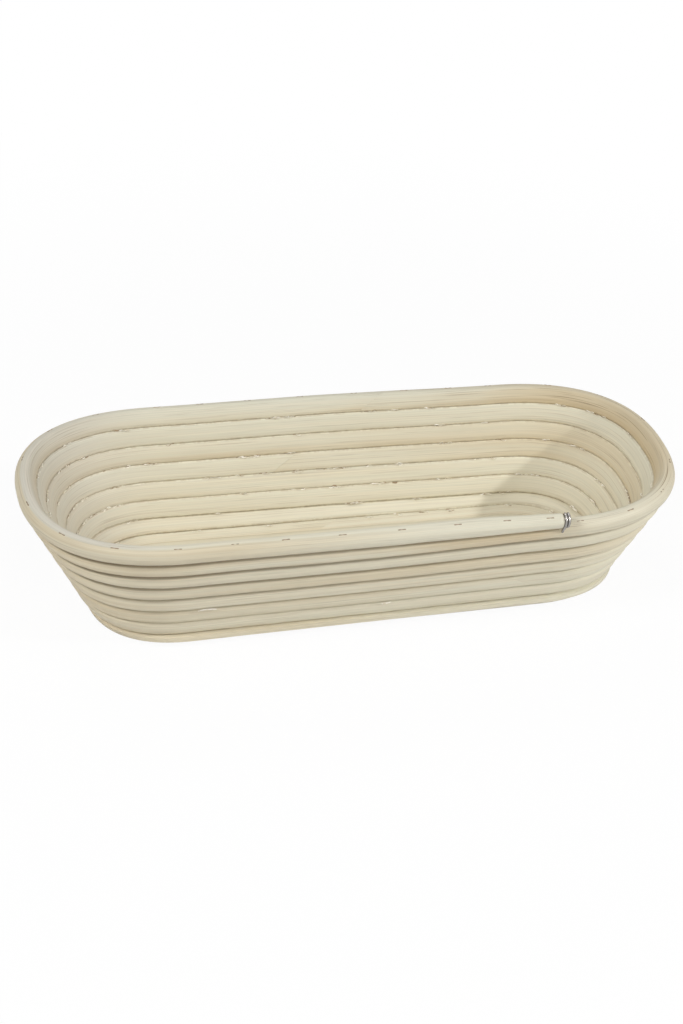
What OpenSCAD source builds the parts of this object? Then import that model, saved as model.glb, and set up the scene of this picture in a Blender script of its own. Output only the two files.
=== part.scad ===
// Oblong proofing bowl: one spiral of round cane, stapled turn on turn.
// +X runs along the bowl, +Y across it and +Z up. The origin is the middle of its foot.
// A place on the spiral is a number of turns, counted from the top turn's front right corner:
// each turn runs along the front, round the left end, along the back and round the right end.

/* [Cane] */
// Diameter of the round cane
cane_d = 10; // [8:0.1:12]
// Gap between one turn and the next
turn_gap = 0.45; // [0.42:0.01:0.8]
// Depth of the flat under the base, where it stands
foot_flat = 1; // [0.5:0.1:1.2]

/* [Bowl] */
// Half of the straight run along each long side
half_straight = 98; // [85:1:130]
// Turns that the wall climbs above the base
wall_turns = 7; // [7:1:9]
// Turns of the base round its core stick
base_turns = 3; // [2:1:4]
// Lean of the long sides from upright, in degrees
side_lean = 20.2; // [10:0.2:24]
// Lean of the two ends from upright, in degrees
end_lean = 27.6; // [24:0.2:32]
// Outward bow of each long side, at the middle of the rim
side_bow = 1.6; // [0:0.1:3]
// Squareness of the ends in plan, where 2 is an ellipse
end_squareness = 2.4; // [2:0.05:2.6]
// Extra room on each side of the core stick
core_gap = 0.2; // [0.1:0.05:0.5]

/* [Joints between lengths of cane] */
// Length of the slanted face where two lengths meet
scarf_len = 16; // [10:1:20]
// Clearance between the two slanted faces
scarf_gap = 0.5; // [0.2:0.05:0.8]
// Distance of the rim's joint from the left end of the back run
rim_joint = 124; // [30:1:140]
// Distance of the upper joint from the left end of the back run
upper_joint = 73; // [30:1:140]
// Distance of the middle joint from the right end of the front run
middle_joint = 14; // [14:1:140]
// Distance of the lower joint from the left end of the back run
lower_joint = 96; // [30:1:140]

/* [Rim end] */
// Distance of the rim cane's end from the right end of the front run
rim_end = 2; // [2:1:12]
// Length over which the rim cane rolls outward to its end
roll_run = 150; // [100:1:160]
// Angle that it has rolled outward at its end, in degrees
roll_angle = 10; // [0:1:30]
// Diameter of the rim cane at its end
rim_end_d = 8; // [7:0.1:10]
// Length over which the rim cane thins to that diameter
thin_run = 44; // [30:1:60]
// Rounding of the rim cane's end
end_round = 1; // [0.5:0.1:1.5]

/* [Binding wire] */
// Diameter of the binding wire
wire_d = 1.2; // [0.8:0.1:1.4]
// Whole turns of the wire on the neck, to which the legs add a half
wire_turns = 1; // [1:1:3]
// Gap between the wire's turns
wire_gap = 0.5; // [0.45:0.05:1]
// Diameter of the neck that the wire is wound on
neck_d = 5.2; // [4:0.1:5.4]
// Clearance of the wire round the neck
neck_gap = 0.1; // [0.05:0.05:0.3]
// Depth that the wire's legs go into the cane below
wire_bite = 3; // [2:0.5:4]

/* [Staples] */
// Thickness of the staple wire
staple_wire = 0.8; // [0.6:0.1:1]
// Width of a staple over its legs
staple_width = 5; // [4:0.1:6]
// Length of a staple's legs
staple_leg = 15; // [12:0.5:16]
// Height of a staple's back above the cane
staple_proud = 0.2; // [0:0.05:0.3]
// Depth of a staple's back in the cane at the foot, where no turn covers it
staple_sunk = 0.8; // [0.5:0.1:1.5]
// Mean spacing of the staples along the long sides of the wall
staple_spacing = 28; // [20:1:40]
// Most that a staple stands off its even place along the cane
staple_drift = 4.5; // [0:0.5:5]
// Distance of the first staple from the rim cane's end
first_staple = 8; // [6:1:15]
// Staples along each run of the base
base_staples_a_run = 5; // [3:1:7]

/* [Hidden] */

// Facets: sides of the cane and the wire, and steps along the runs, the ends and a turn of wire
cane_sides = 10;
wire_sides = 6;
run_steps = 4;
end_steps = 14;
wire_steps = 24;

cane_r = cane_d / 2;
pitch = cane_d + turn_gap;
base_z = cane_r - foot_flat;
turn_rise = pitch * cos(side_lean);
turn_draw = pitch * sin(side_lean);
end_draw = turn_rise * (tan(end_lean) - tan(side_lean));
run_len = 2 * half_straight;

spiral_end = wall_turns + base_turns + 3 / 4;
function front_turn(turn, from_right) = turn + from_right / run_len / 4;
function back_turn(turn, from_left) = turn + 1 / 2 + from_left / run_len / 4;
rim_start = front_turn(0, rim_end);
rim_joint_at = back_turn(0, rim_joint);
upper_joint_at = back_turn(3, upper_joint);
middle_joint_at = front_turn(5, middle_joint);
lower_joint_at = back_turn(wall_turns, lower_joint);

// How far a place on the spiral lies below the top turn, and in from its outline.
// The wall ends on the base at the left end of its last front run.
wall_end = wall_turns + 1 / 4;
function fall(v) = turn_rise * min(v, wall_end);
function draw_in(v) = v <= wall_end ? turn_draw * v
    : draw_in(v - 1) + sqrt(pow(pitch, 2) - pow(fall(v) - fall(v - 1), 2));

// The innermost turn leaves room for the core stick where its runs lie closest, at the left
inner_front = spiral_end - 1 / 2;
inner_back = spiral_end - 1 / 4;
rim_half_w = pitch + core_gap + (draw_in(inner_front) + draw_in(inner_back)) / 2;
rim_reach = rim_half_w + end_draw * wall_end;
function half_w(v) = rim_half_w - draw_in(v);
function reach(v) = rim_reach - draw_in(v) - end_draw * min(v, wall_end);
function bow(v, along) = side_bow * max(0, 1 - v / wall_end) * (1 + cos(180 * along)) / 2;
function squared(c) = sign(c) * pow(abs(c), 2 / end_squareness);

// The middle of the cane at a place on the regular spiral, before it is centred
function spiral(v) =
    let (quarter = floor(4 * (v - floor(v))),
        u = 4 * (v - floor(v)) - quarter,
        along = 2 * u - 1,
        side = quarter < 2 ? -1 : 1,
        out = squared(cos(90 * along)),
        over = squared(sin(90 * along)),
        straight = quarter % 2 == 0,
        x = straight ? half_straight * along : half_straight + reach(v) * out,
        y = straight ? half_w(v) + bow(v, along) : -half_w(v) * over)
    [side * x, side * y, base_z + fall(wall_end) - fall(v)];

function unit(a) = a / norm(a);
function along_cane(v) =
    let (ahead = spiral(v + 0.002) - spiral(v - 0.002))
    unit([ahead.x, ahead.y, 0]);
function outward(v) = let (t = along_cane(v)) [-t.y, t.x, 0];

// Along the front run, the rim cane rolls outward over the turn below and thins to its end
roll_end = front_turn(0, rim_end + roll_run);
thin_end = front_turn(0, rim_end + thin_run);
function share_left(v, last) = max(0, min(1, (last - v) / (last - rim_start)));
function radius_at(v) = cane_r - (cane_r - rim_end_d / 2) * share_left(v, thin_end);
function rolled(v) = side_lean + roll_angle * pow(share_left(v, roll_end), 2);
function laid(v) = v >= roll_end ? spiral(v)
    : spiral(v + 1) + (radius_at(v) + turn_gap + cane_r)
        * (outward(v) * sin(rolled(v)) + [0, 0, cos(rolled(v))]);

// The box round the rim is centred on the origin
rim_steps = 200;
rim_edge = [for (i = [0:rim_steps - 1])
    let (v = rim_start + i / rim_steps)
    laid(v) + outward(v) * radius_at(v)];
function middle(axis) = let (c = [for (p = rim_edge) p[axis]]) (max(c) + min(c)) / 2;
centre = [middle(0), middle(1), 0];
function place(v) = laid(v) - centre;

// A ring of points round a place: its slant moves the top of the ring along the cane,
// its skew moves the outer side, and no point lies below the foot
function ring(at, ahead, out, r, sides, slant = 0, skew = 0) =
    [for (k = [0:sides - 1])
        let (a = 360 * (k + 0.5) / sides,
            p = at + r * (cos(a) * out + sin(a) * [0, 0, 1])
                + ahead * (slant * sin(a) + skew * cos(a)))
        [p.x, p.y, max(0, p.z)]];
function cane_ring(v, slant = 0, skew = 0, shift = 0, thin = 0) =
    ring(place(v) + along_cane(v) * shift, along_cane(v), outward(v), radius_at(v) - thin,
        cane_sides, slant, skew);

// Skins a list of rings, each with the same number of points, as one closed tube
module tube(rings) {
    n = len(rings[0]);
    last = (len(rings) - 1) * n;
    sides = [for (i = [0:len(rings) - 2], k = [0:n - 1])
        let (a = i * n + k, b = i * n + (k + 1) % n)
        each [[a, b + n, b], [a, a + n, b + n]]];
    caps = [for (k = [1:n - 2]) each [[0, k, k + 1], [last, last + k + 1, last + k]]];
    polyhedron([for (r = rings) each r], concat(sides, caps));
}

// Places of the rings: few along a run, and more round an end
steps_a_turn = 2 * (run_steps + end_steps);
function station(i) =
    let (turn = floor(i / steps_a_turn),
        k = i - turn * steps_a_turn,
        half = k < steps_a_turn / 2 ? 0 : 1,
        j = k - half * steps_a_turn / 2,
        quarters = j < run_steps ? j / run_steps : 1 + (j - run_steps) / end_steps)
    turn + half / 2 + quarters / 4;
end_room = (scarf_len + cane_d) / run_len / 4;
function stations(from, to) =
    [for (i = [0:steps_a_turn * ceil(spiral_end)])
        if (station(i) > from + end_room && station(i) < to - end_room) station(i)];

// One length of cane between two places, with its first and its last ring
module cane(from, to, first, final) {
    tube(concat(first, [for (v = stations(from, to)) cane_ring(v)], final));
}

// The slanted end rings of two lengths that meet at a place
function scarf_before(v) = [cane_ring(v, slant = scarf_len / 2, shift = -scarf_gap / 2)];
function scarf_after(v) = [cane_ring(v, slant = scarf_len / 2, shift = scarf_gap / 2)];

// Both the core stick and the inner end of the base cane are cut to a point inside the turn
// that goes round them. The stick lies midway between the runs of the innermost turn.
tip_len = pitch - turn_gap;
core_left = (half_w(inner_back) - half_w(inner_front)) / 2;
core_right = (half_w(spiral_end) - half_w(inner_front - 1 / 4)) / 2;
core_turn = atan((core_right - core_left) / run_len);
core_mid = [0, (core_left + core_right) / 2, base_z] - centre;

module core_stick() {
    left_end = half_straight + cane_r / 4;
    color("burlywood")
        translate(core_mid)
            rotate([0, 0, core_turn])
                difference() {
                    translate([-left_end, 0, 0])
                        rotate([0, 90, 0])
                            cylinder(h = left_end + half_straight + tip_len, d = cane_d, $fn = 48);
                    translate([-run_len, -cane_d, -cane_d - base_z])
                        cube([2 * run_len, 2 * cane_d, cane_d]);
                    translate([half_straight + tip_len, cane_r, 0])
                        rotate([0, 0, 180 + atan(tip_len / cane_d)])
                            translate([-2 * cane_d, 0, -cane_d])
                                cube([4 * cane_d, 2 * cane_d, 2 * cane_d]);
                }
}

module base_cane() {
    inner_tip = [cane_ring(spiral_end, skew = -tip_len / 2, shift = tip_len / 2)];
    color("wheat")
        cane(lower_joint_at, spiral_end, scarf_after(lower_joint_at), inner_tip);
}

module lower_wall_cane() {
    color("palegoldenrod")
        cane(middle_joint_at, lower_joint_at, scarf_after(middle_joint_at),
            scarf_before(lower_joint_at));
}

module middle_wall_cane() {
    color("wheat")
        cane(upper_joint_at, middle_joint_at, scarf_after(upper_joint_at),
            scarf_before(middle_joint_at));
}

module upper_wall_cane() {
    color("tan")
        cane(rim_joint_at, upper_joint_at, scarf_after(rim_joint_at),
            scarf_before(upper_joint_at));
}

// The neck at the rim cane's end, where the wire is wound
wire_pitch = wire_d + wire_gap;
neck_len = wire_pitch * (wire_turns + 1 / 2) + wire_d;
neck_thin = rim_end_d / 2 - neck_d / 2;

module rim_cane() {
    end_rings = [cane_ring(rim_start, shift = -neck_len, thin = neck_thin),
        cane_ring(rim_start, thin = neck_thin),
        cane_ring(rim_start, thin = end_round),
        cane_ring(rim_start, shift = end_round)];
    color("cornsilk")
        cane(rim_start, rim_joint_at, end_rings, scarf_before(rim_joint_at));
}

// The wire goes round the neck, and its two legs run straight into the cane below
wire_coil_r = neck_d / 2 + neck_gap + wire_d / 2;
wire_from = -rolled(rim_start);
wire_sweep = 360 * (wire_turns + 1 / 2);
wire_leg = sqrt(pow(cane_r, 2) - pow(wire_coil_r, 2));
leg_len = rim_end_d / 2 + turn_gap + cane_r - wire_leg + wire_bite;

function wire_round(a) = outward(rim_start) * cos(a) + [0, 0, sin(a)];
function wire_turn(i) = wire_from + wire_sweep * i / wire_count;
wire_count = wire_steps * (wire_turns + 1 / 2);
wire_base = place(rim_start) - along_cane(rim_start) * (wire_d / 2 + neck_gap);
function wire_place(i) =
    wire_base - along_cane(rim_start) * wire_pitch * (wire_turns + 1 / 2) * i / wire_count
        + wire_coil_r * wire_round(wire_turn(i));
leg_way = -wire_round(wire_from + 90);
wire_route = concat([wire_place(0) + leg_way * leg_len],
    [for (i = [0:wire_count]) wire_place(i)],
    [wire_place(wire_count) + leg_way * leg_len]);

// A ring of the wire, square to the mean way of the wire at that point
function wire_ring(i) =
    let (before = wire_route[max(0, i - 1)],
        after = wire_route[min(len(wire_route) - 1, i + 1)],
        ahead = unit(after - before),
        side = unit(cross(ahead, along_cane(rim_start))),
        up = cross(side, ahead))
    [for (k = [0:wire_sides - 1])
        let (a = -360 * k / wire_sides)
        wire_route[i] + wire_d / 2 * (cos(a) * side + sin(a) * up)];

module binding_wire() {
    color("silver")
        tube([for (i = [0:len(wire_route) - 1]) wire_ring(i)]);
}

// One staple at a place, driven from a turn into the turn below it or inside it. At the foot
// its back faces outward, and is sunk in the cane.
module staple(v) {
    lift = abs(v - wall_end) > 1 ? staple_proud : -staple_sunk;
    ahead = along_cane(v);
    way = unit(spiral(v) - spiral(v + 1));
    back = unit(way - ahead * (way * ahead));
    flat = cross(ahead, back);
    at = place(v) + back * (radius_at(v) + lift);
    half = staple_width / 2;
    inner = half - staple_wire;
    multmatrix([[ahead.x, back.x, flat.x, at.x], [ahead.y, back.y, flat.y, at.y],
            [ahead.z, back.z, flat.z, at.z], [0, 0, 0, 1]])
        linear_extrude(height = staple_wire, center = true)
            polygon([[-half, 0], [-half, -staple_leg], [-inner, -staple_leg],
                [-inner, -staple_wire], [inner, -staple_wire], [inner, -staple_leg],
                [half, -staple_leg], [half, 0]]);
}

// The staples of one turn: half a step left over at each turn sets the rows a half step apart.
// Their drift to and fro leaves those of neighbouring turns clear of each other.
staples_a_turn = floor(2 * run_len / staple_spacing) * 2 + 1 / 2;
staple_start = front_turn(0, rim_end + first_staple);
drift_share = min(staple_drift, (staple_spacing / 2 - staple_width) / 2) / staple_spacing;
drift_step = 52;
module staple_row(first_turn, last_turn) {
    color("gray")
        for (i = [ceil(first_turn * staples_a_turn):last_turn * staples_a_turn - 1 / 2])
            staple(staple_start + (i - drift_share * sin(drift_step * i)) / staples_a_turn);
}

module rim_staples() {
    staple_row(0, 1);
}

module second_turn_staples() {
    staple_row(1, 2);
}

module third_turn_staples() {
    staple_row(2, 3);
}

module fourth_turn_staples() {
    staple_row(3, 4);
}

module fifth_turn_staples() {
    staple_row(4, 5);
}

module sixth_turn_staples() {
    staple_row(5, 6);
}

// On a taller bowl this row takes in the turns above the base too
module seventh_turn_staples() {
    staple_row(6, wall_turns);
}

// The base has staples along its straight runs only, staggered from turn to turn,
// and those of the innermost turn go into the core stick
module base_staples() {
    color("gray")
        for (run = [2 * wall_turns:2 * (wall_turns + base_turns) + 1],
                k = [0:base_staples_a_run - 1])
            let (stagger = floor(run / 2) % 2 / 2)
                staple(run / 2 + (k + 1 / 4 + stagger) / base_staples_a_run / 4);
}

// Least gap of the spiral to its next turn, and of the wire to its next turn
gap_places = [for (i = [1:steps_a_turn * floor(spiral_end - 1)])
    if (station(i) > rim_start && station(i) < spiral_end - 1) i];
cane_gaps = [for (i = gap_places, j = [-1:1])
    let (v = station(i), w = station(i + steps_a_turn + j))
    norm(place(v) - place(w)) - radius_at(v) - radius_at(w)];
wire_gaps = [for (i = [0:wire_count - wire_steps], j = [-1:1])
    norm(wire_place(i) - wire_place(min(wire_count, i + wire_steps + j))) - wire_d];
echo(cane_least_gap = min(cane_gaps), wire_least_gap = min(wire_gaps));

core_stick();
base_cane();
lower_wall_cane();
middle_wall_cane();
upper_wall_cane();
rim_cane();
binding_wire();
rim_staples();
second_turn_staples();
third_turn_staples();
fourth_turn_staples();
fifth_turn_staples();
sixth_turn_staples();
seventh_turn_staples();
base_staples();
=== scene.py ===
import math
import random

import bmesh
import bpy
from mathutils import Matrix, Vector, noise


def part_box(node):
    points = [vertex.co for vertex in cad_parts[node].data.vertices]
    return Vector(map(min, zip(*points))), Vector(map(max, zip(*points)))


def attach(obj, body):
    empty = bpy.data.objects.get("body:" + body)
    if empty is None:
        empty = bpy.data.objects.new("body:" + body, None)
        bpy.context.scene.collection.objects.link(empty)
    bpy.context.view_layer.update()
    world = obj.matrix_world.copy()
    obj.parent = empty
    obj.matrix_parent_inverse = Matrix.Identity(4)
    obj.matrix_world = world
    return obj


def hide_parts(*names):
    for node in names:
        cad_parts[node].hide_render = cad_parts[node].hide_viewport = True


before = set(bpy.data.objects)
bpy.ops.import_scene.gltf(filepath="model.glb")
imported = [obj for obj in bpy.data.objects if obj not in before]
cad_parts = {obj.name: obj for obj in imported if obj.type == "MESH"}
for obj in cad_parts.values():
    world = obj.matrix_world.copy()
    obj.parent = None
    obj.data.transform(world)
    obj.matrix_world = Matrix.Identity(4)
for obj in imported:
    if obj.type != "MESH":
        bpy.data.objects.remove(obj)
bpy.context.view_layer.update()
print("frame loaded:", len(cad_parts), "nodes")


# The spiral's route, by the same rule as the solids, in metres and degrees.
# A turn has four quarters: the front run, the left end, the back run and the right end.
bowl = {
    "caneD": 0.010,
    "turnGap": 0.00045,
    "footFlat": 0.001,
    "halfStraight": 0.098,
    "wallTurns": 7,
    "baseTurns": 3,
    "sideLean": 20.2,
    "endLean": 27.6,
    "sideBow": 0.0016,
    "endSquareness": 2.4,
    "coreGap": 0.0002,
    "probe": 0.001,       # step in turns that finds which way the cane runs
    "levelProbe": 0.002,  # and which way its route runs seen from above
}
rim = {
    "end": 0.002,         # from the right end of the front run
    "rollRun": 0.150,     # the cane rolls outward over this length
    "rollAngle": 10,
    "endD": 0.008,
    "thinRun": 0.044,
    "endRound": 0.001,
    "roundStep": 0.3,     # share of that rounding at which its middle ring lies
}
joints = {                # from the end of the run where each length stops
    "rim": 0.124,
    "upper": 0.073,
    "middle": 0.014,
    "lower": 0.096,
}

caneR = bowl["caneD"] / 2
pitch = bowl["caneD"] + bowl["turnGap"]
baseZ = caneR - bowl["footFlat"]
sideLean = math.radians(bowl["sideLean"])
turnRise = pitch * math.cos(sideLean)
turnDraw = pitch * math.sin(sideLean)
endDraw = turnRise * (math.tan(math.radians(bowl["endLean"])) - math.tan(sideLean))
runLen = 2 * bowl["halfStraight"]
wallTurns = bowl["wallTurns"]
wallEnd = wallTurns + 1 / 4
spiralEnd = wallTurns + bowl["baseTurns"] + 3 / 4
zUp = Vector((0, 0, 1))


def frontTurn(turn, fromRight):
    return turn + fromRight / runLen / 4


def backTurn(turn, fromLeft):
    return turn + 1 / 2 + fromLeft / runLen / 4


def fall(v):
    return turnRise * min(v, wallEnd)


def drawIn(v):
    if v <= wallEnd:
        return turnDraw * v
    return drawIn(v - 1) + math.sqrt(pitch ** 2 - (fall(v) - fall(v - 1)) ** 2)


innerFront = spiralEnd - 1 / 2
innerBack = spiralEnd - 1 / 4
rimHalfW = pitch + bowl["coreGap"] + (drawIn(innerFront) + drawIn(innerBack)) / 2
rimReach = rimHalfW + endDraw * wallEnd


def halfW(v):
    return rimHalfW - drawIn(v)


def reach(v):
    return rimReach - drawIn(v) - endDraw * min(v, wallEnd)


def squared(c):
    return math.copysign(abs(c) ** (2 / bowl["endSquareness"]), c)


# Middle of the cane at a place on the regular spiral, counted in turns from the front right corner
def spiral(v):
    quarter, u = divmod(4 * (v - math.floor(v)), 1)
    along = 2 * u - 1
    side = -1 if quarter < 2 else 1
    if quarter % 2 == 0:
        bow = bowl["sideBow"] * max(0, 1 - v / wallEnd) * (1 + math.cos(math.pi * along)) / 2
        x = bowl["halfStraight"] * along
        y = halfW(v) + bow
    else:
        x = bowl["halfStraight"] + reach(v) * squared(math.cos(math.pi / 2 * along))
        y = -halfW(v) * squared(math.sin(math.pi / 2 * along))
    return Vector((side * x, side * y, baseZ + fall(wallEnd) - fall(v)))


def alongCane(v):
    ahead = spiral(v + bowl["levelProbe"]) - spiral(v - bowl["levelProbe"])
    ahead.z = 0
    return ahead.normalized()


def outward(v):
    ahead = alongCane(v)
    return Vector((-ahead.y, ahead.x, 0))


rimStart = frontTurn(0, rim["end"])
rollEnd = frontTurn(0, rim["end"] + rim["rollRun"])
thinEnd = frontTurn(0, rim["end"] + rim["thinRun"])
rimJoint = backTurn(0, joints["rim"])
upperJoint = backTurn(3, joints["upper"])
middleJoint = frontTurn(5, joints["middle"])
lowerJoint = backTurn(wallTurns, joints["lower"])


def shareLeft(v, last):
    return max(0, min(1, (last - v) / (last - rimStart)))


def radiusAt(v):
    return caneR - (caneR - rim["endD"] / 2) * shareLeft(v, thinEnd)


def rolled(v):
    return sideLean + math.radians(rim["rollAngle"]) * shareLeft(v, rollEnd) ** 2


# The same place with the rim's end rolled outward over the turn below it
def laid(v):
    if v >= rollEnd:
        return spiral(v)
    over = outward(v) * math.sin(rolled(v)) + zUp * math.cos(rolled(v))
    return spiral(v + 1) + (radiusAt(v) + bowl["turnGap"] + caneR) * over


def rimMiddle(steps=200):
    places = [rimStart + i / steps for i in range(steps)]
    edge = [laid(v) + outward(v) * radiusAt(v) for v in places]
    middle = [(max(p[k] for p in edge) + min(p[k] for p in edge)) / 2 for k in (0, 1)]
    return Vector((middle[0], middle[1], 0))


centre = rimMiddle()


def place(v):
    return laid(v) - centre


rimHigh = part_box("rim_cane")[1]
print("rim end in the frame and by the rule:", round(rimHigh.x, 4), round(place(rimStart).x, 4))


# Camera at the photograph's viewing angle: place in metres, angles in degrees, focal length in pixels
view = {
    "place": (-0.30724, -1.06258, 0.78086),
    "yaw": 15.93,
    "pitch": 33.75,
    "roll": 3.89,
    "focal": 2424.4,
    "frameH": 1024,
    "sensor": 36,
}


def setCamera():
    yaw, pitchDown, roll = (math.radians(view[k]) for k in ("yaw", "pitch", "roll"))
    level = math.cos(pitchDown)
    ahead = Vector((math.sin(yaw) * level, math.cos(yaw) * level, -math.sin(pitchDown)))
    right = Vector((math.cos(yaw), -math.sin(yaw), 0))
    up = right.cross(ahead)
    across = right * math.cos(roll) + up * math.sin(roll)
    over = up * math.cos(roll) - right * math.sin(roll)
    data = bpy.data.cameras.new("camera")
    data.sensor_width = view["sensor"]
    data.lens = view["focal"] / view["frameH"] * view["sensor"]
    camera = bpy.data.objects.new("camera", data)
    turn = Matrix((across, over, -ahead)).transposed().to_4x4()
    camera.matrix_world = Matrix.Translation(Vector(view["place"])) @ turn
    bpy.context.scene.collection.objects.link(camera)
    bpy.context.scene.camera = camera


setCamera()
print("camera set")


# One socket of a material, so that shader maths reads as expressions
class Link:
    def __init__(self, tree, socket=None):
        self.tree = tree
        self.socket = socket

    def add(self, kind, settings=None, inputs=None, output=0):
        made = self.tree.nodes.new("ShaderNode" + kind)
        for key, value in (settings or {}).items():
            setattr(made, key, value)
        for key, value in (inputs or {}).items():
            if isinstance(value, Link):
                self.tree.links.new(value.socket, made.inputs[key])
            else:
                made.inputs[key].default_value = value
        return Link(self.tree, made.outputs[output] if made.outputs else None)

    def maths(self, operation, first, second=0.0):
        return self.add("Math", {"operation": operation}, {0: first, 1: second})

    def __add__(self, other):
        return self.maths("ADD", self, other)

    def __radd__(self, other):
        return self.maths("ADD", other, self)

    def __sub__(self, other):
        return self.maths("SUBTRACT", self, other)

    def __rsub__(self, other):
        return self.maths("SUBTRACT", other, self)

    def __mul__(self, other):
        return self.maths("MULTIPLY", self, other)

    def __rmul__(self, other):
        return self.maths("MULTIPLY", other, self)

    def __truediv__(self, other):
        return self.maths("DIVIDE", self, other)

    def __rtruediv__(self, other):
        return self.maths("DIVIDE", other, self)

    def __neg__(self):
        return self.maths("MULTIPLY", self, -1.0)

    def size(self):
        return self.maths("ABSOLUTE", self)

    # How far a noise is from its middle
    def swing(self):
        return self - 0.5

    def between(self, low, high):
        return self.add("MapRange", {"interpolation_type": "SMOOTHSTEP"},
                        {"Value": self, "From Min": low, "From Max": high})

    def stretched(self, scale):
        return self.add("VectorMath", {"operation": "MULTIPLY"}, {0: self, 1: scale})

    # Sockets of the same node, by name
    def beside(self, *names):
        return [Link(self.tree, self.socket.node.outputs[name]) for name in names]

    def parts(self, *names):
        return self.add("SeparateXYZ", None, {0: self}).beside(*names)

    # On a colour mix, inputs 6 and 7 and output 2 are the colours
    def mixed(self, share, first, second, blend="MIX"):
        return self.add("Mix", {"data_type": "RGBA", "blend_type": blend},
                        {0: share, 6: first, 7: second}, 2)


def newFinish(name):
    material = bpy.data.materials.new(name)
    material.use_nodes = True
    material.node_tree.nodes.clear()
    return material, Link(material.node_tree)


def closeFinish(net, inputs):
    shader = net.add("BsdfPrincipled", None, inputs)
    net.add("OutputMaterial", None, {"Surface": shader})


# Peeled cane: pale wood with fine lengthwise fibres, tan bands, and brown dust in the grooves, with
# painted shadow and shade on the outside and painted shade inside.
# A pair named Range is where a value starts to count and where it counts in full.
caneLook = {
    "light": (0.735, 0.685, 0.54, 1),
    "grey": (0.715, 0.68, 0.54, 1),
    "tan": (0.61, 0.50, 0.325, 1),
    "groove": (0.36, 0.25, 0.13, 1),
    # dust, and painted shadow and shade, for the grooves and undersides outside
    "dustAndShadow": (0.17, 0.12, 0.065, 1),
    "fleck": (0.36, 0.28, 0.18, 1),
    # painted shade: the inside of the left end is greyer and darker
    "leftInsideShade": (0.88, 0.88, 0.93, 1),
    "rimTop": (0.94, 0.955, 0.975, 1),
    "grain": {                        # waves per metre along and across the cane, and detail
        "fine": (7, 2500, 2.0),
        "hue": (3, 900, 1.0),
        "bands": (4, 420, 2.0),
        "patches": (9, 70, 1.0),
        "flecks": (24, 2400, 1.0),
        "breaks": (240, 120, 2.0),
    },
    "grainRoughness": 0.6,
    "outerRange": (-0.15, 0.15),      # radii from the cane's middle to the bowl's outside
    "hueRange": (0.35, 0.65),
    "tanRange": (0.0, 1.2),
    "bandTan": 0.65,
    "patchTan": 0.7,
    "lessTan": 0.05,
    "outerTanAndShade": 0.10,                 # the bowl's outside is more tan than its inside
    "outerShadeUp": 3.0,                # painted shade: still more so up, per metre
    "outerShadeLeft": 1.3,              # painted shade: and more so to the left, per metre
    "lowRange": (0.1, 0.7),           # radii down the inside of a cane, made more tan towards the bottom as painted shade
    "lowShade": 0.15,
    "fineDepth": 0.36,
    "fineLow": 0.82,
    "fleckRange": (0.60, 0.72),
    "fleckTan": 1.3,                  # hairlines are more common on a tan cane
    "fleckJoined": 0.7,               # and less common between two turns than on top of the rim
    "fleckAll": 0.15,
    "leftInsideShadeRange": (0.09, 0.16),     # metres to the left, over which the inside of the left end is greyed and darkened as painted shade
    "underRange": (-0.05, 0.60),      # radii down the outside of a cane, darkened there as painted shade
    "underShade": 0.32,
    "overRange": (0.68, 0.84),        # radii up it, to the groove, where the turn above casts a painted shadow
    "shadowHeightRange": (0.010, 0.060),
    "shadowMiddle": 0.75,
    "shadowLeft": 1.6,                  # more painted shadow to the left, per metre
    "shadowShare": 0.62,
    "grooveRange": (0.68, 0.71),      # radii up or down the inside of a cane
    "breakRange": (0.40, 0.58),
    "grooveShare": 0.25,
    "fineRelief": 0.7,
    "fleckRelief": 0.3,
    "bumpStrength": 0.3,
    "bumpDepth": 0.00018,
    "roughness": 0.56,
    "roughnessSwing": 0.25,
    "specular": 0.3,
}


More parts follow.
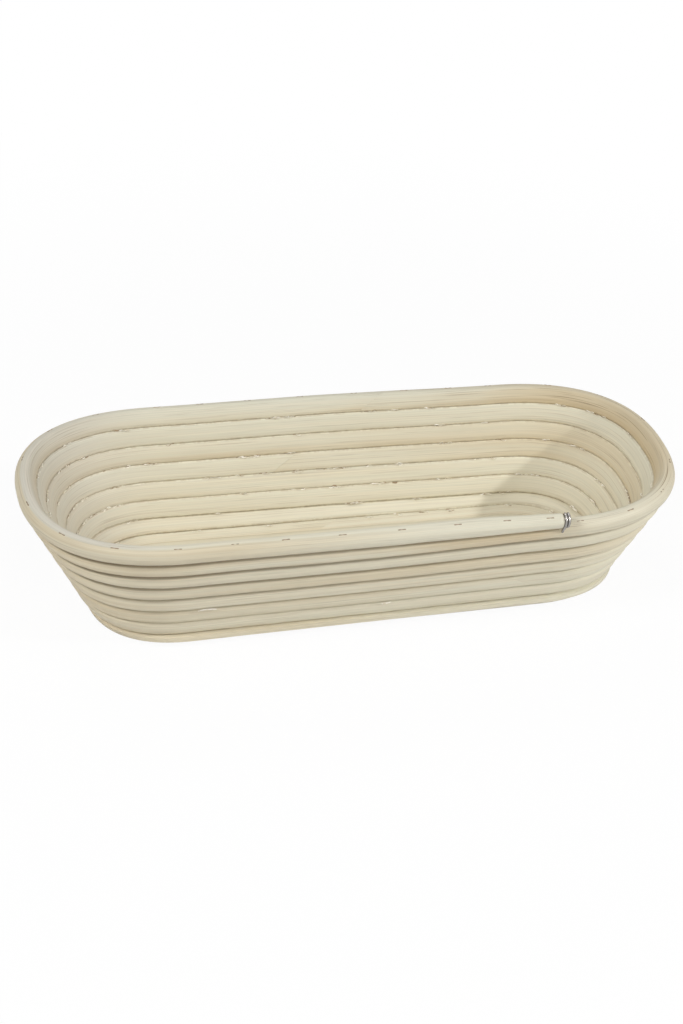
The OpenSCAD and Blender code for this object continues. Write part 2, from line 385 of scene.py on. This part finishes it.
def caneFinish():
    material, net = newFinish("peeledCane")
    look = caneLook
    fibre = net.add("Attribute", {"attribute_name": "fibre"}, output="Vector")
    tone = net.add("Attribute", {"attribute_name": "tone"}, output="Fac")
    joined = net.add("Attribute", {"attribute_name": "joined"}, output="Fac")

    def grain(kind):
        along, across, detail = look["grain"][kind]
        return net.add("TexNoise", None, {
            "Vector": fibre.stretched((along, across, across)),
            "Scale": 1.0,
            "Detail": detail,
            "Roughness": look["grainRoughness"],
        })

    fine = grain("fine")
    bands = grain("bands")
    flecks = grain("flecks")
    outer, upper = (part / caneR for part in fibre.parts("Y", "Z"))
    outside = outer.between(*look["outerRange"])
    inside = 1 - outside
    x, height = net.add("TexCoord", output="Object").parts("X", "Z")

    shade = tone + bands.swing() * look["bandTan"] + grain("patches").swing() * look["patchTan"]
    shade = shade - look["lessTan"]
    # Outside, more tan, and more again up and to the left as painted shade
    outerTanAndShade = height * look["outerShadeUp"] + look["outerTanAndShade"] - x * look["outerShadeLeft"]
    # Painted shade: inside, each turn is more tan towards its lower edge
    lowShade = (-upper).between(*look["lowRange"]) * inside * look["lowShade"]
    shade = shade + outerTanAndShade * outside + lowShade
    colour = net.mixed(grain("hue").between(*look["hueRange"]), look["grey"], look["light"])
    colour = net.mixed(shade.between(*look["tanRange"]), colour, look["tan"])
    colour = net.mixed(1.0, colour, fine * look["fineDepth"] + look["fineLow"], "MULTIPLY")

    hairs = tone * (look["fleckTan"] - joined * look["fleckJoined"]) + look["fleckAll"]
    colour = net.mixed(flecks.between(*look["fleckRange"]) * hairs, colour, look["fleck"])
    # Painted shade: greyer and darker inside the left end
    leftInsideShade = (-x).between(*look["leftInsideShadeRange"]) * inside
    colour = net.mixed(leftInsideShade, colour, look["leftInsideShade"], "MULTIPLY")
    colour = net.mixed(1 - joined, colour, look["rimTop"], "MULTIPLY")

    # Painted shadow and shade outside, with some dust: the turn above shadows the top of each turn, its
    # lower half is darker, and both grow up and to the left
    under = (upper * -joined).between(*look["underRange"]) * look["underShade"]
    over = (upper * joined).between(*look["overRange"])
    paintedShadow = (under + over) * outside * height.between(*look["shadowHeightRange"])
    paintedShadow = paintedShadow * (look["shadowMiddle"] - x * look["shadowLeft"])
    colour = net.mixed(paintedShadow * look["shadowShare"], colour, look["dustAndShadow"])
    edge = (upper.size() * joined).between(*look["grooveRange"])
    breaks = grain("breaks").between(*look["breakRange"])
    colour = net.mixed(edge * inside * breaks * look["grooveShare"], colour, look["groove"])

    closeFinish(net, {
        "Base Color": colour,
        "Roughness": look["roughness"] + bands.swing() * look["roughnessSwing"],
        "Specular IOR Level": look["specular"],
        "Normal": net.add("Bump", None, {
            "Height": fine * look["fineRelief"] + flecks * look["fleckRelief"],
            "Strength": look["bumpStrength"],
            "Distance": look["bumpDepth"],
        }),
    })
    return material


def worn(net, look):
    spots = net.add("TexCoord", output="Object")
    inputs = {"Vector": spots, "Scale": look["waves"], "Detail": look["detail"]}
    return net.add("TexNoise", None, inputs)


# Steel: the wire is bright, the staples are dull, and both are grimy in spots
steelWear = {
    "waves": 1400.0,
    "detail": 3.0,
    "grime": (0.10, 0.085, 0.07, 1),
    "grimeRange": (0.45, 0.75),
    "roughnessSwing": 0.3,
}
wireLook = {
    "steel": (0.36, 0.345, 0.325, 1),
    "roughness": 0.24,
    "grimeShare": 0.7,
}
stapleLook = {
    "steel": (0.30, 0.235, 0.165, 1),
    "roughness": 0.55,
    "grimeShare": 0.5,
}


def steelFinish(name, look):
    material, net = newFinish(name)
    wear = worn(net, steelWear)
    grimy = wear.between(*steelWear["grimeRange"]) * look["grimeShare"]
    closeFinish(net, {
        "Base Color": net.mixed(grimy, look["steel"], steelWear["grime"]),
        "Metallic": 1.0,
        "Roughness": look["roughness"] + wear.swing() * steelWear["roughnessSwing"],
    })
    return material


# Loose fibres: most paler and drier than the cane that they stand out of, and some dark brown ones laid
# flat among them as painted shadow
fibreLook = {
    "pale": (0.93, 0.90, 0.81, 1),
    "dull": (0.78, 0.70, 0.54, 1),
    "shadowBrown": (0.38, 0.28, 0.17, 1),
    "waves": 900.0,
    "detail": 2.0,
    "dullRange": (0.4, 0.7),
    "roughness": 0.65,
    "roughnessSwing": 0.2,
}


def fibreFinish():
    material, net = newFinish("frayedFibre")
    wear = worn(net, fibreLook)
    shadowBrown = net.add("Attribute", {"attribute_name": "shadowBrown"}, output="Fac")
    pale = net.mixed(wear.between(*fibreLook["dullRange"]), fibreLook["pale"], fibreLook["dull"])
    closeFinish(net, {
        "Base Color": net.mixed(shadowBrown, pale, fibreLook["shadowBrown"]),
        "Roughness": fibreLook["roughness"] + wear.swing() * fibreLook["roughnessSwing"],
    })
    return material


peeledCane = caneFinish()
brightWire = steelFinish("brightWire", wireLook)
frayedFibre = fibreFinish()
stapleSteel = steelFinish("stapleSteel", stapleLook)
print("finishes made")


# A closed tube: a grid with a row for each ring, rolled up, welded along its seam and closed at its ends
def sweep(bm, rings):
    sides, last = len(rings[0]), len(rings) - 1
    tube = [[None] * (sides + 1) for ring in rings]
    for vert in bmesh.ops.create_grid(bm, x_segments=last, y_segments=sides, size=1)["verts"]:
        i = round((vert.co.x + 1) / 2 * last)
        k = round((vert.co.y + 1) / 2 * sides)
        vert.co = rings[i][k % sides]
        tube[i][k] = vert
    bmesh.ops.weld_verts(bm, targetmap={row.pop(): row[0] for row in tube})
    for row in (tube[0], tube[-1]):
        edges = [bm.edges.get((row[k - 1], row[k])) for k in range(sides)]
        cap = bmesh.ops.edgeloop_fill(bm, edges=edges)["faces"]
        bmesh.ops.poke(bm, faces=cap)
    return tube


sharpAngle = 48           # degrees between faces, past which their edge is drawn sharp


def finishPiece(bm, name, finish, slotName, *nodes):
    bmesh.ops.recalc_face_normals(bm, faces=bm.faces)
    mesh = bpy.data.meshes.new(name)
    bm.to_mesh(mesh)
    bm.free()
    mesh.shade_smooth()
    mesh.set_sharp_from_angle(angle=math.radians(sharpAngle))
    mesh.materials.append(finish)
    piece = bpy.data.objects.new(name, mesh)
    bpy.context.scene.collection.objects.link(piece)
    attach(piece, "root")
    if nodes:
        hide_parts(*nodes)
    print(name, "made:", len(mesh.polygons), "faces")


# Cane: round on the bowl's outside, and pressed flat inside between the turns above and below it
caneShape = {
    "innerSides": 16,
    "outerSides": 12,
    "ringStep": 0.0025,
    "pressed": 16.0,        # 2 is round, more is squarer
    "crown": 0.085,         # share of the radius that the flat inside falls to its edges
    "outerPressed": 2.05,
    "lowPressed": 6.0,      # added to that down to the foot
    "lowCurve": 4,          # the higher, the nearer to the foot it starts
    "lowFade": 2,           # how fast it stops on the base, per turn
    "tight": 0.00001,       # gap left on each side of a groove
    "wobble": 0.00018,
    "swell": 0.012,
    "uneven": ((22, 0), (70, 4), (35, 9)),    # waves per metre, row of the noise: slow, quick, swell
    "quickShare": 0.6,
    "scarfLen": 0.016,
    "scarfFade": 0.024,
    "scarfGap": 0.00012,
    "tipLen": 0.010,
    "tanInside": 0.6,       # how much more tan the inside of the rim is
    "paleOutside": 0.2,     # share of that by which its outside is paler
    "tanFade": 10,          # how fast both stop at the end of the first turn, per turn
    "shadeRoundLeft": 0.12,        # painted shade: how much more tan a cane is round the left end
}


def toneStop(stops, v):
    for (v0, tone0), (v1, tone1) in zip(stops, stops[1:]):
        if v < v1:
            return tone0 + (tone1 - tone0) * max(0, (v - v0) / (v1 - v0))
    return stops[-1][1]


# More tan round the left end, as painted shade
def toneAt(stops, v):
    leftShare = max(0, math.sin(math.pi * (4 * (v % 1) - 1))) if v % 1 < 1 / 2 else 0
    return toneStop(stops, v) + caneShape["shadeRoundLeft"] * leftShare


# Frame of the section: ahead along the cane, and the ways to the turns above and below it
def section(v):
    here = laid(v)
    ahead = (laid(v + bowl["probe"]) - laid(v - bowl["probe"])).normalized()

    def way(spot):
        flat = spot - here
        return (flat - ahead * flat.dot(ahead)).normalized()

    below = way(laid(v + 1))
    above = way(laid(v - 1)) if v - 1 >= rimStart else -below
    return ahead, above, below


def halfGap(v):
    return ((laid(v) - laid(v + 1)).length - radiusAt(v) - radiusAt(v + 1)) / 2 - caneShape["tight"]


# Ways round the section as angles: 0 is straight inside the bowl, and a quarter turn meets a neighbour
def sectionAngles():
    inner, outer = caneShape["innerSides"], caneShape["outerSides"]
    power = 4 / caneShape["pressed"]
    angles = []
    for k in range(inner):
        a = math.pi / 2 * (2 * (k + 0.5) / inner - 1)
        angles.append(math.copysign(math.atan2(abs(math.sin(a)) ** power, math.cos(a) ** power), a))
    angles += [math.pi / 2 + math.pi * (k + 0.5) / outer for k in range(outer)]
    return angles


ringAngles = sectionAngles()


def caneRing(v, travel, seed, slant=0.0, shift=0.0, tip=0.0, thin=0.0):
    ahead, above, below = section(v)
    up = (above - below).normalized()
    inside = ahead.cross(up)
    half = inside.angle(above)
    radius = radiusAt(v) - thin
    topmost = v - 1 < rimStart
    gapAbove = 0 if topmost or thin else halfGap(v - 1)
    gapBelow = 0 if v + 1 > spiralEnd or thin else halfGap(v)
    slow, quick, girth = (noise.noise((travel * waves, seed, row)) for waves, row in caneShape["uneven"])
    middle = place(v) - inside * caneShape["wobble"] * (slow + caneShape["quickShare"] * quick)
    swell = 1 + caneShape["swell"] * girth
    low = min(1, v / wallEnd) ** caneShape["lowCurve"]
    low *= max(0, min(1, 1 - caneShape["lowFade"] * (v - wallEnd)))
    spots, marks = [], []
    for a in ringAngles:
        high = math.sin(a)
        if abs(a) <= math.pi / 2:
            turned = a * half / (math.pi / 2)
            power = caneShape["pressed"]
            deep = radius * swell * (1 - caneShape["crown"] * min(1, math.tan(a) ** 2))
        else:
            turned = half + (a - math.pi / 2) * (2 - 2 * half / math.pi)
            power = caneShape["outerPressed"] + caneShape["lowPressed"] * low
            deep = radius * swell
        way = inside * math.cos(turned) + up * math.sin(turned)
        if thin or topmost and high > 0:
            far = radius * swell
        else:
            faces = (abs(way.dot(inside)) / deep,
                     max(0, way.dot(above)) / (radius + gapAbove),
                     max(0, way.dot(below)) / (radius + gapBelow))
            far = sum(face ** power for face in faces) ** (-1 / power)
        along = slant * high + shift + tip * (1 - high) / 2
        spot = middle + way * far + ahead * along
        spot.z = max(spot.z, 0)
        spots.append(spot)
        marks.append((Vector((travel + along + seed, -caneR * math.cos(a), caneR * high)),
                      0.0 if topmost and high > 0 else 1.0))
    return spots, marks


# A tube that carries where each point lies in the cane's fibres, whether it faces a neighbour,
# and how tan the cane is there
def caneTube(rings, marks, shades):
    bm = bmesh.new()
    fibre = bm.verts.layers.float_vector.new("fibre")
    tone = bm.verts.layers.float.new("tone")
    joined = bm.verts.layers.float.new("joined")
    tube = sweep(bm, rings)
    for ring, mark, (shade, leanIn) in zip(tube, marks, shades):
        for vert, (spot, beside) in zip(ring, mark):
            vert[fibre] = spot
            # the tone holds painted shade round the left end as well as the cane's own tan
            vert[tone] = shade * (1 - leanIn * min(caneShape["paleOutside"], spot.y / caneR))
            vert[joined] = beside
    return bm


# Binding wire, and the neck that it is wound on at the rim cane's end
wire = {
    "d": 0.0012,
    "drawnD": 0.0015,       # so that its turns read as one band
    "turns": 1 + 1 / 2,
    "gap": 0.0005,
    "neckGap": 0.0001,
    "bite": 0.003,
    "sides": 12,
    "stepsATurn": 40,
}
neck = {"d": 0.0052, "round": 0.0004}
neck["len"] = (wire["d"] + wire["gap"]) * wire["turns"] + wire["d"]
neck["thin"] = rim["endD"] / 2 - neck["d"] / 2


# Rings from the neck's tip to the cane's rounded end: how far back each lies, and how much it is thinned
def neckRings():
    middle = rim["roundStep"] * rim["endRound"]
    return ((neck["len"], neck["thin"] + neck["round"]),
            (neck["len"] - neck["round"], neck["thin"]),
            (0, neck["thin"]),
            (0, rim["endRound"]),
            (-middle, middle))


def eased(share):
    return share ** 2 * (3 - 2 * share)


# Places on the spiral about a ring's step apart
def ringPlaces(start, stop):
    places = [start]
    while places[-1] < stop:
        v = places[-1]
        metresATurn = (laid(v + bowl["probe"]) - laid(v)).length / bowl["probe"]
        places.append(v + caneShape["ringStep"] / metresATurn)
    scale = (stop - start) / (places[-1] - start)
    return [start + (v - start) * scale for v in places]


# One length of cane between two places on the spiral
def windCane(name, node, slotName, seed, start, stop, tones, startCut="scarf", stopCut="scarf"):
    half = caneShape["scarfLen"] / 2
    gap = caneShape["scarfGap"] / 2
    places = ringPlaces(start, stop)
    last = (len(places) - 1) * caneShape["ringStep"]
    rings, marks, shades = [], [], []
    if startCut == "bound":
        for back, thin in neckRings():
            spots, mark = caneRing(start, 0, seed, shift=-back, thin=thin)
            rings.append(spots)
            marks.append(mark)
            shades.append((tones[0][1], 0))
    for i, v in enumerate(places):
        travel = i * caneShape["ringStep"]
        fromStart = max(0, 1 - travel / caneShape["scarfFade"])
        fromStop = max(0, 1 - (last - travel) / caneShape["scarfFade"])
        slant, shift, tip = 0, 0, 0
        if startCut == "scarf":
            slant += half * eased(fromStart)
            shift += gap * (i == 0)
        if startCut == "bound":
            shift += rim["endRound"] * fromStart
        if stopCut == "scarf":
            slant += half * eased(fromStop)
            shift -= gap * (i == len(places) - 1)
        if stopCut == "point":
            tip = caneShape["tipLen"] * eased(fromStop)
        spots, mark = caneRing(v, travel, seed, slant, shift, tip)
        rings.append(spots)
        marks.append(mark)
        leanIn = caneShape["tanInside"] * max(0, min(1, (1 - v) * caneShape["tanFade"]))
        shades.append((toneAt(tones, v), leanIn))
    finishPiece(caneTube(rings, marks, shades), name, peeledCane, slotName, node)


# The five lengths of cane, with tones as pairs: a place in turns, and how tan the cane is there
caneLengths = {
    "rimLength": {
        "node": "rim_cane",
        "slotName": "light_cane",
        "seed": 0.0,
        "start": rimStart,
        "stop": rimJoint,
        "startCut": "bound",
        "tones": ((0, 0.1), (0.25, 0.15), (0.5, 0.1), (0.62, 0.15), (0.67, 0.3)),
    },
    "upperLength": {
        "node": "upper_wall_cane",
        "slotName": "tan_cane",
        "seed": 3.0,
        "start": rimJoint,
        "stop": upperJoint,
        "tones": (
            (0.66, 0.25), (0.74, 0.35), (0.79, 0.75), (0.88, 0.75), (0.94, 0.45), (0.99, 0.4),
            (1.02, 0.8), (1.07, 0.55), (1.12, 0.2), (1.25, 0.1), (1.4, 0.1), (1.6, 0.1),
            (1.8, 0.25), (1.95, 0.05), (2.15, 0.05), (2.3, 0.1), (2.5, 0.35), (2.75, 0.45),
            (2.97, 0.6), (3.1, 0.4), (3.2, 0.25), (3.45, 0.1), (3.6, 0.15),
        ),
    },
    "middleLength": {
        "node": "middle_wall_cane",
        "slotName": "grey_cane",
        "seed": 6.0,
        "start": upperJoint,
        "stop": middleJoint,
        "tones": ((3.59, 0.35), (3.8, 0.4), (4.0, 0.2), (4.3, 0.15), (4.6, 0.2), (5.0, 0.3)),
    },
    "lowerLength": {
        "node": "lower_wall_cane",
        "slotName": "pale_cane",
        "seed": 9.0,
        "start": middleJoint,
        "stop": lowerJoint,
        "tones": (
            (5.0, 0.2), (5.4, 0.3), (5.7, 0.15), (6.0, 0.15),
            (6.4, 0.3), (6.8, 0.2), (7.0, 0.2), (7.6, 0.3),
        ),
    },
    "baseLength": {
        "node": "base_cane",
        "slotName": "pale_cane",
        "seed": 12.0,
        "start": lowerJoint,
        "stop": spiralEnd,
        "stopCut": "point",
        "tones": ((7.6, 0.3), (9.0, 0.35), (10.8, 0.3)),
    },
}

for name, settings in caneLengths.items():
    windCane(name, **settings)


# Core stick: a straight cane midway between the innermost runs, with a slanted tip
core = {
    "seed": 15.0,
    "tone": 0.3,
    "steps": 40,
    "past": 1 / 4,          # radii that it starts before the straight run
}


def layCore():
    left = (halfW(innerBack) - halfW(innerFront)) / 2
    right = (halfW(spiralEnd) - halfW(innerFront - 1 / 4)) / 2
    ahead = Vector((runLen, right - left, 0)).normalized()
    side = zUp.cross(ahead)
    middle = Vector((0, (left + right) / 2, baseZ)) - centre
    start = -bowl["halfStraight"] - caneR * core["past"]
    stop = bowl["halfStraight"]
    rings, marks = [], []
    for i in range(core["steps"] + 1):
        travel = start + (stop - start) * i / core["steps"]
        tip = caneShape["tipLen"] * (i == core["steps"])
        spots, mark = [], []
        for a in ringAngles:
            spot = middle + ahead * (travel + tip * (1 + math.sin(a)) / 2)
            spot += caneR * (side * math.sin(a) + zUp * math.cos(a))
            spot.z = max(spot.z, 0)
            spots.append(spot)
            fibre = Vector((travel + core["seed"], -caneR * math.cos(a), caneR * math.sin(a)))
            mark.append((fibre, 1.0))
        rings.append(spots)
        marks.append(mark)
    tube = caneTube(rings, marks, [(core["tone"], 0)] * len(rings))
    finishPiece(tube, "coreStick", peeledCane, "pale_cane", "core_stick")


layCore()


# A round wire along a list of points
def wireRings(route, radius, sides, level):
    rings = []
    for i, spot in enumerate(route):
        ahead = (route[min(len(route) - 1, i + 1)] - route[max(0, i - 1)]).normalized()
        side = ahead.cross(level).normalized()
        up = side.cross(ahead)
        rings.append([spot + radius * (side * math.cos(a) + up * math.sin(a))
                      for a in (2 * math.pi * k / sides for k in range(sides))])
    return rings


def bindRim():
    ahead = alongCane(rimStart)
    out = outward(rimStart)
    coilR = neck["d"] / 2 + wire["neckGap"] + wire["drawnD"] / 2
    start = -rolled(rimStart)
    steps = int(wire["stepsATurn"] * wire["turns"])
    base = place(rimStart) - ahead * (wire["d"] / 2 + wire["neckGap"])
    toCane = rim["endD"] / 2 + bowl["turnGap"] + caneR - math.sqrt(caneR ** 2 - coilR ** 2)
    down = -(out * math.cos(start + math.pi / 2) + zUp * math.sin(start + math.pi / 2))
    leg = down * (toCane + wire["bite"])
    coil = []
    for i in range(steps + 1):
        a = start + 2 * math.pi * wire["turns"] * i / steps
        travel = (wire["d"] + wire["gap"]) * wire["turns"] * i / steps
        coil.append(base - ahead * travel + coilR * (out * math.cos(a) + zUp * math.sin(a)))
    route = [coil[0] + leg] + coil + [coil[-1] + leg]
    bm = bmesh.new()
    sweep(bm, wireRings(route, wire["drawnD"] / 2, wire["sides"], ahead))
    finishPiece(bm, "bindingWire", brightWire, "bright_wire", "binding_wire")


bindRim()


# Rim staples: wire staples pressed into the top of the rim
staple = {
    "wire": 0.0008,
    "width": 0.005,
    "leg": 0.015,
    "proud": (0.0, 0.00018),
    "sag": 0.0002,          # the middle of the crown lies this much deeper than its shoulders
    "seed": 5,
    "first": 0.008,
    "spacing": 0.028,
    "drift": 0.0045,
    "driftStep": 52,        # degrees
    "corner": 0.0006,
    "cornerSteps": 4,
    "sides": 8,
}
lastStaple = math.floor(round(2 * runLen / staple["spacing"], 6)) * 2
staplesATurn = lastStaple + 1 / 2
stapleStart = frontTurn(0, rim["end"] + staple["first"])
driftShare = staple["drift"] / staple["spacing"]


def stapleRoute(v, proud):
    ahead, up = section(v)[:2]
    top = place(v) + up * (radiusAt(v) + proud - staple["wire"] / 2)
    half = staple["width"] / 2 - staple["wire"] / 2
    corner, steps = staple["corner"], staple["cornerSteps"]
    bends = [math.pi / 2 * k / steps for k in range(steps + 1)]
    arc = [(half - corner + corner * math.sin(a), -corner + corner * math.cos(a)) for a in bends]
    flat = [(-x, y) for x, y in reversed(arc)] + [(0, -staple["sag"])] + arc
    flat = [(-half, -staple["leg"])] + flat + [(half, -staple["leg"])]
    return [top + ahead * x + up * y for x, y in flat], up.cross(ahead)


def driveStaples():
    bm = bmesh.new()
    chance = random.Random(staple["seed"])
    for i in range(lastStaple + 1):
        drift = driftShare * math.sin(math.radians(staple["driftStep"] * i))
        v = stapleStart + (i - drift) / staplesATurn
        route, level = stapleRoute(v, chance.uniform(*staple["proud"]))
        sweep(bm, wireRings(route, staple["wire"] / 2, staple["sides"], level))
    finishPiece(bm, "rimStaples", stapleSteel, "staple_steel", "rim_staples")


driveStaples()

# The staples that the cane hides keep the shape of their solids
for node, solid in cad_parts.items():
    if node.endswith("_staples") and node != "rim_staples":
        solid.data.materials.clear()
        solid.data.materials.append(stapleSteel)
print("hidden staples finished")


# Frayed fibres: short curled strands out of the grooves inside, and two splinters on the front
fray = {
    "seed": 4,
    "tufts": 210,
    "turns": (0.35, 6.95),
    "spread": (-0.003, 0.003),    # turns
    "strands": (2, 5),
    "len": (0.0010, 0.0028),
    "thick": 0.00050,
    "lift": 0.0012,
    "curl": (0.5, 1.0),           # shares of the lift
    "curlArc": 0.7,               # half turns that the lift goes through
    "bend": (-0.35, 0.35),        # shares of the length
    "bendArc": 0.8,
    "shadowBrown": 0.3,                 # share of dark brown ones, which lie flat as painted shadow
    "steps": 4,
    "sides": 3,
    "splinters": ((4, 0.184, 0.010), (5, 0.088, 0.005)),    # turn, metres from the right, length
    "splinterThick": 0.0010,
    "splinterBrown": 0.15,
}


def strandRoute(chance, v, length, side, lift):
    ahead, above, below = section(v)
    out = ahead.cross((above - below).normalized()) * side
    root = place(v) + below * (caneR + bowl["turnGap"] / 2) + out * (caneR - fray["thick"])
    bend = chance.uniform(*fray["bend"])
    curl = chance.uniform(*fray["curl"]) * lift
    route = []
    for i in range(fray["steps"] + 1):
        t = i / fray["steps"]
        wave = below * length * bend * math.sin(math.pi * fray["bendArc"] * t)
        rise = out * curl * math.sin(math.pi * fray["curlArc"] * t)
        route.append(root + ahead * length * t + wave + rise)
    return route, out


def frayGrooves():
    chance = random.Random(fray["seed"])
    bm = bmesh.new()
    shadowBrown = bm.verts.layers.float.new("shadowBrown")
    strands = []
    for turn, fromRight, length in fray["splinters"]:
        route = strandRoute(chance, frontTurn(turn, fromRight), length, -1, fray["lift"])
        strands.append((route, fray["splinterThick"], fray["splinterBrown"]))
    for tuft in range(fray["tufts"]):
        v = chance.uniform(*fray["turns"])
        for strand in range(chance.randint(*fray["strands"])):
            length = chance.uniform(*fray["len"]) * chance.choice((-1, 1))
            # Dark brown strands lie flat among the pale ones as painted shadow
            isShadowStrand = chance.random() < fray["shadowBrown"]
            lift = 0 if isShadowStrand else fray["lift"]
            route = strandRoute(chance, v + chance.uniform(*fray["spread"]), length, 1, lift)
            strands.append((route, fray["thick"], float(isShadowStrand)))
    for (route, level), thick, share in strands:
        for ring in sweep(bm, wireRings(route, thick / 2, fray["sides"], level)):
            for vert in ring:
                vert[shadowBrown] = share
    finishPiece(bm, "frayedFibres", frayedFibre, "pale_cane")


frayGrooves()


# White floor that keeps the bowl's shadow, and plain studio light:
# a small key lamp at the right, and soft boxes all round
studio = {
    "floorHalf": 4.0,
    "floorColour": (0.9, 0.9, 0.9, 1),
    "white": (1, 1, 1, 1),
    "nearGlow": 0.94,        # share of plain white that the camera sees on the floor by the bowl
    "allGlow": (0.25, 0.6),  # and the way from there to where it sees nothing else
    "worldLight": 0.1,
    "lampFar": 1.6,
    "lamps": (               # name, degrees from +X, degrees up, width, light on a sheet that faces it
        ("key", -28, 31, 0.06, 0.41),
        ("leftBox", -158, 46, 0.40, 0.40),
        ("frontBox", -90, 38, 0.80, 0.22),
        ("topBox", -70, 78, 0.90, 0.13),
        ("backBox", 110, 45, 0.60, 0.14),
    ),
}


def seenDirectly(net):
    names = ("Is Camera Ray", "Is Glossy Ray", "Is Transmission Ray")
    byCamera, inGloss, throughGlass = net.add("LightPath").beside(*names)
    return net.maths("MINIMUM", byCamera + inGloss + throughGlass, 1.0)


def layFloor():
    material, net = newFinish("whiteFloor")
    lit = net.add("BsdfDiffuse", None, {"Color": studio["floorColour"]})
    glow = net.add("Emission", None, {"Color": studio["white"], "Strength": 1.0})
    spots = net.add("TexCoord", output="Object")
    away = net.add("VectorMath", {"operation": "LENGTH"}, {0: spots}, "Value")
    share = studio["nearGlow"] + (1 - studio["nearGlow"]) * away.between(*studio["allGlow"])
    both = net.add("MixShader", None, {0: seenDirectly(net) * share, 1: lit, 2: glow})
    net.add("OutputMaterial", None, {"Surface": both})
    bm = bmesh.new()
    bmesh.ops.create_grid(bm, x_segments=1, y_segments=1, size=studio["floorHalf"])
    mesh = bpy.data.meshes.new("floor")
    bm.to_mesh(mesh)
    bm.free()
    mesh.materials.append(material)
    floor = bpy.data.objects.new("floor", mesh)
    bpy.context.scene.collection.objects.link(floor)


def setLight():
    world = bpy.data.worlds.new("studio")
    world.use_nodes = True
    world.node_tree.nodes.clear()
    net = Link(world.node_tree)
    strength = studio["worldLight"] + (1 - studio["worldLight"]) * seenDirectly(net)
    sky = net.add("Background", None, {"Color": studio["white"], "Strength": strength})
    net.add("OutputWorld", None, {"Surface": sky})
    bpy.context.scene.world = world
    for name, turn, height, width, level in studio["lamps"]:
        turn, height = math.radians(turn), math.radians(height)
        flat = math.cos(height)
        way = Vector((math.cos(turn) * flat, math.sin(turn) * flat, math.sin(height)))
        light = bpy.data.lights.new(name, "AREA")
        light.shape = "DISK"
        light.size = width
        light.energy = level * (math.pi * studio["lampFar"]) ** 2
        lamp = bpy.data.objects.new(name, light)
        lamp.location = way * studio["lampFar"]
        lamp.rotation_euler = way.to_track_quat("Z", "Y").to_euler()
        bpy.context.scene.collection.objects.link(lamp)


layFloor()
setLight()
bpy.context.scene.view_settings.view_transform = "Standard"
print("floor and light set")
